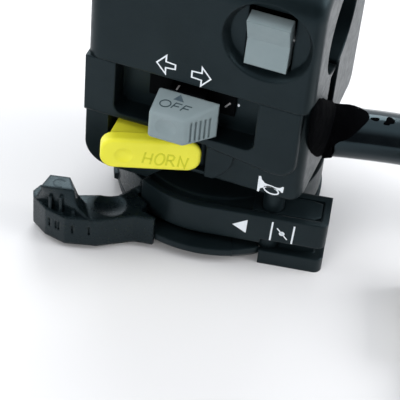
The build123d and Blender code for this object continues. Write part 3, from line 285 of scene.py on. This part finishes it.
def darken_hinge():
    """The horn button's hinge end is dark like the housing, its pressed face stays yellow."""
    tree = horn_plastic.node_tree
    shader = tree.nodes["Principled BSDF"]
    yellow = shader.inputs["Base Color"].links[0].from_socket
    place = tree.nodes.new("ShaderNodeTexCoord").outputs["Object"]
    both = tree.nodes.new("ShaderNodeMath")
    both.operation = "MULTIPLY"
    tree.links.new(past(tree, place, "X", HINGE_LEFT * MM), both.inputs[0])
    tree.links.new(past(tree, place, "Y", HINGE_FRONT * MM), both.inputs[1])
    mix = blend(tree, both.outputs["Value"], HOUSING_DARK, HOUSING_LIGHT)
    tree.links.new(yellow, mix.inputs["A"])
    tree.links.new(mix.outputs["Result"], shader.inputs["Base Color"])


darken_hinge()
white_print = ink("white_print", (0.72, 0.76, 0.80), (0.80, 0.84, 0.88))
grey_print = ink("grey_print", (0.40, 0.39, 0.39), (0.52, 0.50, 0.50))
knob_ink = ink("knob_ink", (0.030, 0.046, 0.052), (0.045, 0.062, 0.070))
knob_shade = ink("knob_shade", (0.060, 0.085, 0.105), (0.080, 0.110, 0.130))
horn_ink = ink("horn_ink", (0.56, 0.56, 0.004), (0.64, 0.62, 0.008), (0.45, 0.55))
lever_ink = ink("lever_ink", (0.004, 0.006, 0.008), (0.007, 0.009, 0.012))

FINISHES = {
    "housing": housing_plastic,
    "lever": lever_plastic,
    "knob": knob_plastic,
    "horn_face": horn_plastic,
    "rocker": knob_plastic,
    "inner_plastic": board_plastic_and_shade,
    "contact": brass,
    "steel": steel,
    "sleeve": sleeve_rubber,
    "wrap": wrap_rubber_and_shade,
    "connector": shell_plastic,
}


def dress(obj, material):
    """Gives an object one material."""
    obj.data.materials.clear()
    obj.data.materials.append(material)


for entry in frame["record"]["subparts"]:
    dress(frame["nodes"][entry["node"]], FINISHES[entry["material_slot"]])
dress(cord, sleeve_rubber)


def new_ring(bm, points):
    """Adds a ring of points given in millimetres."""
    return [bm.verts.new(Vector(point) * MM) for point in points]


def skin(bm, rings):
    """Joins each closed ring of points to the next with faces."""
    for one, other in zip(rings, rings[1:]):
        for index in range(len(one)):
            following = (index + 1) % len(one)
            bm.faces.new((one[index], one[following], other[following], other[index]))


def close_ends(bm, rings):
    """Closes the first and the last ring with a face each."""
    bm.faces.new(reversed(rings[0]))
    bm.faces.new(rings[-1])


def link_piece(name, bm, body, material):
    """Makes a piece of the part from a finished mesh."""
    bmesh.ops.recalc_face_normals(bm, faces=bm.faces)
    mesh = bpy.data.meshes.new(name)
    bm.to_mesh(mesh)
    bm.free()
    obj = bpy.data.objects.new(name, mesh)
    bpy.context.scene.collection.objects.link(obj)
    dress(obj, material)
    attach(obj, body)
    return obj


# How deep a sign's ink sits in its face and how far it stands out, in millimetres
SUNK = 0.06
PROUD = 0.03
LEAST_MITRE = 0.35


def flat_place(origin, across, upward):
    """The frame of a flat face: an origin in millimetres, one direction across and one up it."""
    across = Vector(across).normalized()
    upward = Vector(upward).normalized()
    outward = across.cross(upward)
    turn = Matrix((across, upward, outward)).transposed().to_4x4()
    return Matrix.Translation(Vector(origin) * MM) @ turn


def line_sides(points, width, closed):
    """The two edges of a line of even width through plan points, mitred at its corners."""
    count = len(points)
    left, right = [], []
    for index in range(count):
        here = Vector(points[index])
        runs = []
        if closed or index > 0:
            runs.append((here - Vector(points[index - 1])).normalized())
        if closed or index < count - 1:
            runs.append((Vector(points[(index + 1) % count]) - here).normalized())
        sides = [Vector((-run.y, run.x)) for run in runs]
        middle = sum(sides, Vector((0.0, 0.0))).normalized()
        reach = width / 2 / max(middle.dot(sides[0]), LEAST_MITRE)
        left.append(here + middle * reach)
        right.append(here - middle * reach)
    return left, right


def add_line(bm, place, points, width, closed=False):
    """Adds one drawn line to a sign's mesh, as a thin bar set into the face."""
    left, right = line_sides(points, width, closed)
    rows = []
    for one, other in zip(left, right):
        corners = ((one, -SUNK), (one, PROUD), (other, PROUD), (other, -SUNK))
        rows.append([
            bm.verts.new(place @ Vector((point.x * MM, point.y * MM, height * MM)))
            for point, height in corners
        ])
    if closed:
        skin(bm, rows + rows[:1])
    else:
        skin(bm, rows)
        close_ends(bm, rows)


def add_patch(bm, place, points):
    """Adds one filled shape to a sign's mesh."""
    rings = [
        [bm.verts.new(place @ Vector((x * MM, y * MM, height * MM))) for x, y in points]
        for height in (-SUNK, PROUD)
    ]
    skin(bm, rings)
    close_ends(bm, rings)


def oval(centre, radii, slant=0.0, count=24):
    """Points round an oval whose top leans over by a slant."""
    points = []
    for step in range(count):
        angle = 2 * math.pi * step / count
        rise = radii[1] * math.sin(angle)
        points.append((centre[0] + radii[0] * math.cos(angle) + slant * rise, centre[1] + rise))
    return points


def add_sign(name, place, lines, patches, width, body, material):
    """A sign of drawn lines and filled shapes on one face; a line is (points, closed)."""
    bm = bmesh.new()
    for points, closed in lines:
        add_line(bm, place, points, width, closed)
    for points in patches:
        add_patch(bm, place, points)
    bmesh.ops.triangulate(bm, faces=[face for face in bm.faces if len(face.verts) > 4])
    return link_piece(name, bm, body, material)


ALONG_X = (1.0, 0.0, 0.0)
ALONG_Y = (0.0, 1.0, 0.0)
ALONG_Z = (0.0, 0.0, 1.0)
RIGHT_ARROW = [
    (-1.22, -7.95), (0.93, -8.08), (0.9, -9.6), (2.9, -7.15), (0.9, -4.7), (0.93, -6.22), (-1.22, -6.35),
]
LEFT_ARROW = [
    (-4.9, -7.2), (-7.0, -7.4), (-6.98, -9.0), (-9.0, -6.6), (-6.98, -4.2), (-7.0, -5.8), (-4.9, -6.0),
]


def add_turn_arrows():
    """White outline arrows above the slider, with the dot and the two strokes beside the knob."""
    face = flat_place((0.0, -20.4, 0.0), ALONG_X, ALONG_Z)
    for name, outline in (("arrow_right", RIGHT_ARROW), ("arrow_left", LEFT_ARROW)):
        add_sign(name, face, [(outline, True)], [], 0.34, "housing", white_print)
    plate = flat_place((0.0, -15.0, 0.0), ALONG_X, ALONG_Z)
    dot = oval((8.12, -16.66), (0.26, 0.4))
    add_sign("slot_dot", plate, [], [dot], 0.3, "housing", white_print)
    shield = flat_place((0.0, -15.9, 0.0), ALONG_X, ALONG_Z)
    stroke = [((5.35, -17.39), (6.5, -15.91)), False]
    add_sign("shield_stroke", shield, [stroke], [], 0.36, "turn_slider", grey_print)
    collar = flat_place((0.0, 0.0, -13.05), ALONG_X, ALONG_Y)
    stroke = [((-4.46, -19.8), (-4.34, -18.17)), False]
    add_sign("collar_stroke", collar, [stroke], [], 0.36, "turn_slider", grey_print)


def add_off_word():
    """The word OFF and its pointer, cut into the knob's sloping top."""
    top = flat_place((0.0, -20.0, -13.4), ALONG_X, (0.0, 6.1, 2.0))
    letters = [
        (oval((-5.57, -3.4), (1.13, 0.86), 0.25), True),
        ([(-4.13, -4.1), (-3.44, -2.62), (-2.04, -2.62)], False),
        ([(-3.72, -3.4), (-2.55, -3.36)], False),
        ([(-2.1, -4.1), (-1.3, -2.62), (0.1, -2.62)], False),
        ([(-1.68, -3.4), (-0.4, -3.38)], False),
    ]
    add_sign("knob_word", top, letters, [], 0.27, "turn_slider", knob_ink)
    pointer = [(-3.2, -0.35), (-4.35, -1.95), (-1.98, -2.0)]
    add_sign("knob_pointer", top, [], [pointer], 0.2, "turn_slider", knob_shade)


def add_horn_word():
    """The word HORN cut into the horn button's face, in a deeper yellow."""
    face = flat_place((-18.1, -27.5, 0.0), (20.6, 7.4, 0.0), ALONG_Z)
    bowl = [(14.75, -29.35), (15.7, -29.4), (16.1, -29.95), (15.85, -30.75), (14.6, -30.95)]
    letters = [
        ([(9.25, -31.95), (9.82, -28.85)], False),
        ([(10.9, -32.2), (11.4, -29.1)], False),
        ([(9.5, -30.5), (11.15, -30.7)], False),
        (oval((12.95, -30.7), (1.0, 1.62), 0.12), True),
        ([(14.35, -32.4), *bowl], False),
        ([(15.2, -30.85), (16.1, -32.65)], False),
        ([(16.95, -32.6), (17.3, -29.7), (18.4, -32.8), (19.1, -29.9)], False),
    ]
    add_sign("horn_word", face, letters, [], 0.42, "horn", horn_ink)


def add_horn_picture():
    """The standard picture of a horn, in white beside the button."""
    face = flat_place((0.0, -19.0, 0.0), ALONG_X, ALONG_Z)
    bell = [
        (15.41, -30.98), (15.92, -30.79), (16.19, -31.71), (16.96, -32.53), (17.53, -32.59),
        (19.83, -32.82), (20.38, -32.69), (20.95, -32.11), (21.25, -32.2), (21.15, -33.85),
        (20.85, -33.9), (20.48, -33.5), (18.6, -33.35), (17.2, -33.45), (16.75, -33.92),
        (16.08, -34.37), (15.84, -35.46), (15.41, -35.43),
    ]
    loop = oval((18.55, -34.1), (1.62, 0.95), -0.25)
    add_sign("horn_picture", face, [(loop, True)], [bell], 0.36, "housing", white_print)


# Starter unit: the lever's axis at the foot, and the directions along and across its tail
CHOKE_FOOT = Vector((0.9, 1.5, -56.0))
TAIL_LEAN = math.radians(9.5)
TAIL_ALONG = Vector((math.cos(TAIL_LEAN), math.sin(TAIL_LEAN), 0.0))
TAIL_ACROSS = Vector((math.sin(TAIL_LEAN), -math.cos(TAIL_LEAN), 0.0))
TAIL_WALL = 24.1
TAB_TOP = 16.2
TAB_ARC_CENTRE = (-27.2, -31.3)


def add_tail_signs():
    """Pointer and throttle valve sign on the front wall of the starter unit's tail."""
    wall = flat_place(CHOKE_FOOT + TAIL_ACROSS * TAIL_WALL, TAIL_ALONG, ALONG_Z)
    pointer = [(6.59, 10.73), (9.79, 8.72), (9.9, 12.77)]
    bars = [([(15.45, 13.44), (15.28, 7.75)], False), ([(20.32, 13.24), (20.12, 7.75)], False)]
    valve = [([(16.56, 11.81), (19.03, 8.73)], False)]
    disc = oval((17.73, 10.34), (0.65, 0.65))
    add_sign("tail_bars", wall, bars, [pointer], 0.4, "housing", white_print)
    add_sign("tail_valve", wall, valve, [disc], 0.28, "housing", white_print)


def add_tab_arc():
    """Open ring cut into the top of the lever's tab."""
    top = flat_place(CHOKE_FOOT + Vector((0.0, 0.0, TAB_TOP)), ALONG_X, ALONG_Y)
    arc = []
    for step in range(17):
        angle = math.radians(50 + 260 * step / 16)
        across = TAB_ARC_CENTRE[0] + 1.35 * math.cos(angle)
        arc.append((across, TAB_ARC_CENTRE[1] + 1.2 * math.sin(angle)))
    add_sign("tab_arc", top, [(arc, False)], [], 0.3, "starter_lever", lever_ink)


# Sealing round the loom, whose mound reaches up to the front corner where it is painted shade: its outline on
# the end face as y and z, with (share, rise) of its steps
LOOM_CENTRE = Vector((24.8, 1.8, -31.4))
SEAL_AND_SHADE_OUTLINE = [
    (-19.6, -8.5), (-19.8, -14.0), (-17.8, -20.5), (-13.0, -26.0), (-7.6, -31.5), (-2.0, -36.6), (4.2, -38.2),
    (7.6, -36.2), (7.9, -31.0), (5.6, -26.2), (0.6, -21.6), (-5.6, -16.6), (-11.5, -11.0), (-16.5, -7.6),
]
SEAL_STEPS = ((1.0, -0.1), (0.96, 0.45), (0.86, 0.9), (0.66, 1.3), (0.4, 1.7))
# Its sleeve on the loom: share of the length and how far it stands off the cord
SEAL_TUBE = ((0.0, 0.5), (0.12, 0.55), (0.4, 0.5), (0.75, 0.42), (0.94, 0.3), (1.0, 0.06))
SEAL_SUNK = 0.4
SEAL_LUMP_SIZE = 2.5
SEAL_LUMP_DEPTH = 0.5
# Dabs on the cord: reach, angle from the top, half length, half width
SEAL_DABS = [(10.0, 0.17, 1.0, 0.45), (13.3, 0.16, 1.0, 0.95), (12.6, 0.30, 0.7, 0.5)]
DAB_STEPS = ((0.9, -0.5), (1.0, -0.05), (0.8, 0.05), (0.4, 0.1))


def round_cord(reach, angle, radius):
    """A point round the cord's straight start; the angle runs from its top to the near side."""
    upward = Vector(ALONG_Z) * math.cos(angle) + LOOM_NEAR_SIDE * math.sin(angle)
    return LOOM_CENTRE + LOOM_OUT * reach + upward * radius


def torn_length(angle):
    """How far the sealing's sleeve reaches along the cord: long on top, short below."""
    wave = 0.4 * math.sin(3 * angle) + 0.3 * math.sin(7 * angle + 1.0)
    return 1.5 + 7.0 * max(0.0, math.cos(angle)) ** 1.3 + wave


def add_seal():
    """Rough black sealing round the loom: a low mound on the end face and a torn sleeve; the mound's stretch
    to the front corner is painted shade.
    """
    bm = bmesh.new()
    mound = []
    # the mound's outline runs up the end face to the front corner; that stretch is a black layer of painted
    # shade
    for share, rise in SEAL_STEPS:
        mound.append(new_ring(bm, [
            (
                LOOM_CENTRE.x + rise,
                LOOM_CENTRE.y + (y - LOOM_CENTRE.y) * share,
                LOOM_CENTRE.z + (z - LOOM_CENTRE.z) * share,
            )
            for y, z in SEAL_AND_SHADE_OUTLINE
        ]))
    skin(bm, mound)
    bm.faces.new(mound[-1])
    count = 40
    tube = []
    for share, swell in SEAL_TUBE:
        ring = []
        for step in range(count):
            angle = 2 * math.pi * step / count
            reach = (torn_length(angle) + SEAL_SUNK) * share - SEAL_SUNK
            radius = SLEEVE_RADIUS + swell + 0.12 * math.sin(5 * angle + 9 * share)
            ring.append(round_cord(reach, angle, radius))
        tube.append(new_ring(bm, ring))
    skin(bm, tube)
    for face in bm.faces:
        face.smooth = True
    seal = link_piece("loom_seal_and_shade", bm, "housing", wrap_rubber_and_shade)
    smooth = seal.modifiers.new("round", "SUBSURF")
    smooth.levels = 2
    smooth.render_levels = 2
    lumps = bpy.data.textures.new("lumps", "CLOUDS")
    lumps.noise_scale = SEAL_LUMP_SIZE * MM
    push = seal.modifiers.new("lumps", "DISPLACE")
    push.texture = lumps
    push.strength = SEAL_LUMP_DEPTH * MM
    push.mid_level = 0.5


def add_seal_dabs():
    """Small dabs of the sealing on the cord's top."""
    bm = bmesh.new()
    count = 16
    for reach, turn, half_length, half_width in SEAL_DABS:
        rings = []
        for share, height in DAB_STEPS:
            ring = []
            for step in range(count):
                angle = 2 * math.pi * step / count
                swell = share * (1.0 + 0.15 * math.sin(3 * angle + reach))
                along = reach + half_length * swell * math.cos(angle)
                around = turn + half_width * swell * math.sin(angle) / SLEEVE_RADIUS
                ring.append(round_cord(along, around, SLEEVE_RADIUS + height))
            rings.append(new_ring(bm, ring))
        skin(bm, rings)
        close_ends(bm, rings)
    link_piece("seal_dabs", bm, "housing", wrap_rubber_and_shade)


add_seal_dabs()
add_turn_arrows()
add_off_word()
add_horn_word()
add_horn_picture()
add_tail_signs()
add_tab_arc()
add_seal()

# Lid of the tail: edges along and across the tail, heights over the foot, and the peg it goes round
LID_LOW = (10.5, 16.2)
LID_HIGH = (25.7, 22.2)
LID_HEIGHTS = (13.75, 14.42)
LID_HOLE_RADIUS = 2.5
PEG_PLACE = Vector((18.8, -15.5, -56.0))
# End of the base's rim: angles in degrees round the axis, and its section as radius and height
RIM_FROM = 295.4
RIM_TO = 309.0
RIM_SECTION = ((22.0, 0.05), (25.9, 1.3), (26.7, 2.6), (26.7, 4.2), (22.0, 4.2))


def run_to_edge(centre, turn):
    """How far a ray from the centre runs in the lid before it meets an edge."""
    runs = []
    for axis in range(2):
        if abs(turn[axis]) > 1e-6:
            edge = LID_HIGH[axis] if turn[axis] > 0 else LID_LOW[axis]
            runs.append((edge - centre[axis]) / turn[axis])
    return min(runs)


def add_tail_lid():
    """Flat lid in the recess of the tail's top, round the peg that stands on it, with a fine gap."""
    peg = PEG_PLACE - CHOKE_FOOT
    centre = (peg.dot(TAIL_ALONG), peg.dot(TAIL_ACROSS))
    count = 48
    hole, outline = [], []
    for step in range(count):
        angle = 2 * math.pi * step / count
        turn = (math.cos(angle), math.sin(angle))
        for ring, run in ((hole, LID_HOLE_RADIUS), (outline, run_to_edge(centre, turn))):
            ring.append((centre[0] + run * turn[0], centre[1] + run * turn[1]))
    bm = bmesh.new()
    low_hole, low_outline, top_hole, top_outline = [
        new_ring(bm, [
            CHOKE_FOOT + TAIL_ALONG * along + TAIL_ACROSS * across + Vector((0.0, 0.0, height))
            for along, across in ring
        ])
        for height in LID_HEIGHTS
        for ring in (hole, outline)
    ]
    skin(bm, [low_hole, top_hole, top_outline, low_outline, low_hole])
    link_piece("tail_lid", bm, "housing", housing_plastic)


def add_rim_end():
    """The last stretch of the base's rim, up to the tail's plate."""
    bm = bmesh.new()
    count = 8
    rows = []
    for step in range(count + 1):
        angle = math.radians(RIM_FROM + (RIM_TO - RIM_FROM) * step / count)
        turn = Vector((math.cos(angle), math.sin(angle), 0.0))
        rows.append(new_ring(bm, [
            CHOKE_FOOT + turn * radius + Vector((0.0, 0.0, height)) for radius, height in RIM_SECTION
        ]))
    skin(bm, rows)
    close_ends(bm, rows)
    link_piece("rim_end", bm, "housing", housing_plastic)


add_tail_lid()
add_rim_end()

# Stage: floor colours near the viewer, darkened there as painted shade, and further back, with the stretch
# where they meet
FLOOR_SIZE = 3.0
FLOOR_NEAR_SHADED = (0.60, 0.595, 0.60)
FLOOR_FAR = (0.73, 0.725, 0.73)
FLOOR_SHADE_BLEND = (-0.09, 0.03)
LAMP_TARGET = Vector((0.0, 0.0, -0.03))
# Name, place in metres, size, power, tint, and whether the part's gloss shows the lamp
LAMPS = (
    ("lamp_right", (0.75, 0.15, 0.45), 0.6, 6.2, (1.0, 1.0, 1.0), True),
    ("lamp_left", (-0.70, -0.10, 0.40), 0.6, 2.0, (0.97, 0.99, 1.0), True),
    ("lamp_back", (-0.20, 0.68, 0.70), 0.5, 4.4, (0.97, 0.99, 1.0), True),
    ("lamp_front", (-0.25, -0.85, 0.30), 0.5, 4.8, (1.0, 1.0, 1.0), False),
)
# Surround: dim in front and below, pale behind and above
GLOW_TINT = (0.93, 0.96, 1.0)
GLOW_RISE = 0.8
GLOW_BLEND = (-0.15, 0.5)
FRONT_GLOW = 0.03
BACK_GLOW = 1.3


def add_floor():
    """Pale floor under the part, made a little darker towards the viewer by painted shade."""
    bm = bmesh.new()
    bmesh.ops.create_grid(bm, x_segments=1, y_segments=1, size=FLOOR_SIZE)
    mesh = bpy.data.meshes.new("floor")
    bm.to_mesh(mesh)
    bm.free()
    floor = bpy.data.objects.new("floor", mesh)
    floor.location = (0.0, 0.0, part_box("choke_base")[0][2])
    bpy.context.scene.collection.objects.link(floor)
    material, tree, shader, place = node_tree("floor_painted_shade")
    split = tree.nodes.new("ShaderNodeSeparateXYZ")
    tree.links.new(place, split.inputs["Vector"])
    # painted shade: the floor's colour darkens towards the viewer in place of the part's shadow
    depth = ramp(tree, split.outputs["Y"], *FLOOR_SHADE_BLEND)
    depth.interpolation_type = "SMOOTHSTEP"
    paint = blend(tree, depth.outputs["Result"], FLOOR_NEAR_SHADED, FLOOR_FAR)
    tree.links.new(paint.outputs["Result"], shader.inputs["Base Color"])
    shader.inputs["Roughness"].default_value = 0.85
    shader.inputs["Specular IOR Level"].default_value = 0.1
    dress(floor, material)


def add_lamp(name, place, size, power, tint, glints):
    """A soft square lamp aimed at the part."""
    data = bpy.data.lights.new(name, "AREA")
    data.shape = "SQUARE"
    data.size = size
    data.energy = power
    data.color = tint
    lamp = bpy.data.objects.new(name, data)
    aim = (LAMP_TARGET - Vector(place)).to_track_quat("-Z", "Y")
    lamp.matrix_world = Matrix.Translation(place) @ aim.to_matrix().to_4x4()
    lamp.visible_glossy = glints
    bpy.context.scene.collection.objects.link(lamp)


def add_surround():
    """A world that is white to the camera; to the part it is pale behind and dim in front."""
    world = bpy.data.worlds.new("surround")
    world.use_nodes = True
    bpy.context.scene.world = world
    tree = world.node_tree
    glow = tree.nodes["Background"]
    glow.inputs["Color"].default_value = (*GLOW_TINT, 1.0)
    heading = tree.nodes.new("ShaderNodeSeparateXYZ")
    direction = tree.nodes.new("ShaderNodeTexCoord").outputs["Generated"]
    tree.links.new(direction, heading.inputs["Vector"])
    rise = tree.nodes.new("ShaderNodeMath")
    rise.operation = "MULTIPLY_ADD"
    rise.inputs[1].default_value = GLOW_RISE
    tree.links.new(heading.outputs["Z"], rise.inputs[0])
    tree.links.new(heading.outputs["Y"], rise.inputs[2])
    fade = ramp(tree, rise.outputs["Value"], *GLOW_BLEND, FRONT_GLOW, BACK_GLOW)
    tree.links.new(fade.outputs["Result"], glow.inputs["Strength"])
    white = tree.nodes.new("ShaderNodeBackground")
    white.inputs["Color"].default_value = (1.0, 1.0, 1.0, 1.0)
    white.inputs["Strength"].default_value = 1.0
    path = tree.nodes.new("ShaderNodeLightPath")
    choose = tree.nodes.new("ShaderNodeMixShader")
    tree.links.new(path.outputs["Is Camera Ray"], choose.inputs["Fac"])
    tree.links.new(glow.outputs["Background"], choose.inputs[1])
    tree.links.new(white.outputs["Background"], choose.inputs[2])
    tree.links.new(choose.outputs["Shader"], tree.nodes["World Output"].inputs["Surface"])


add_floor()
for lamp in LAMPS:
    add_lamp(*lamp)
add_surround()
bpy.context.scene.view_settings.view_transform = "Standard"
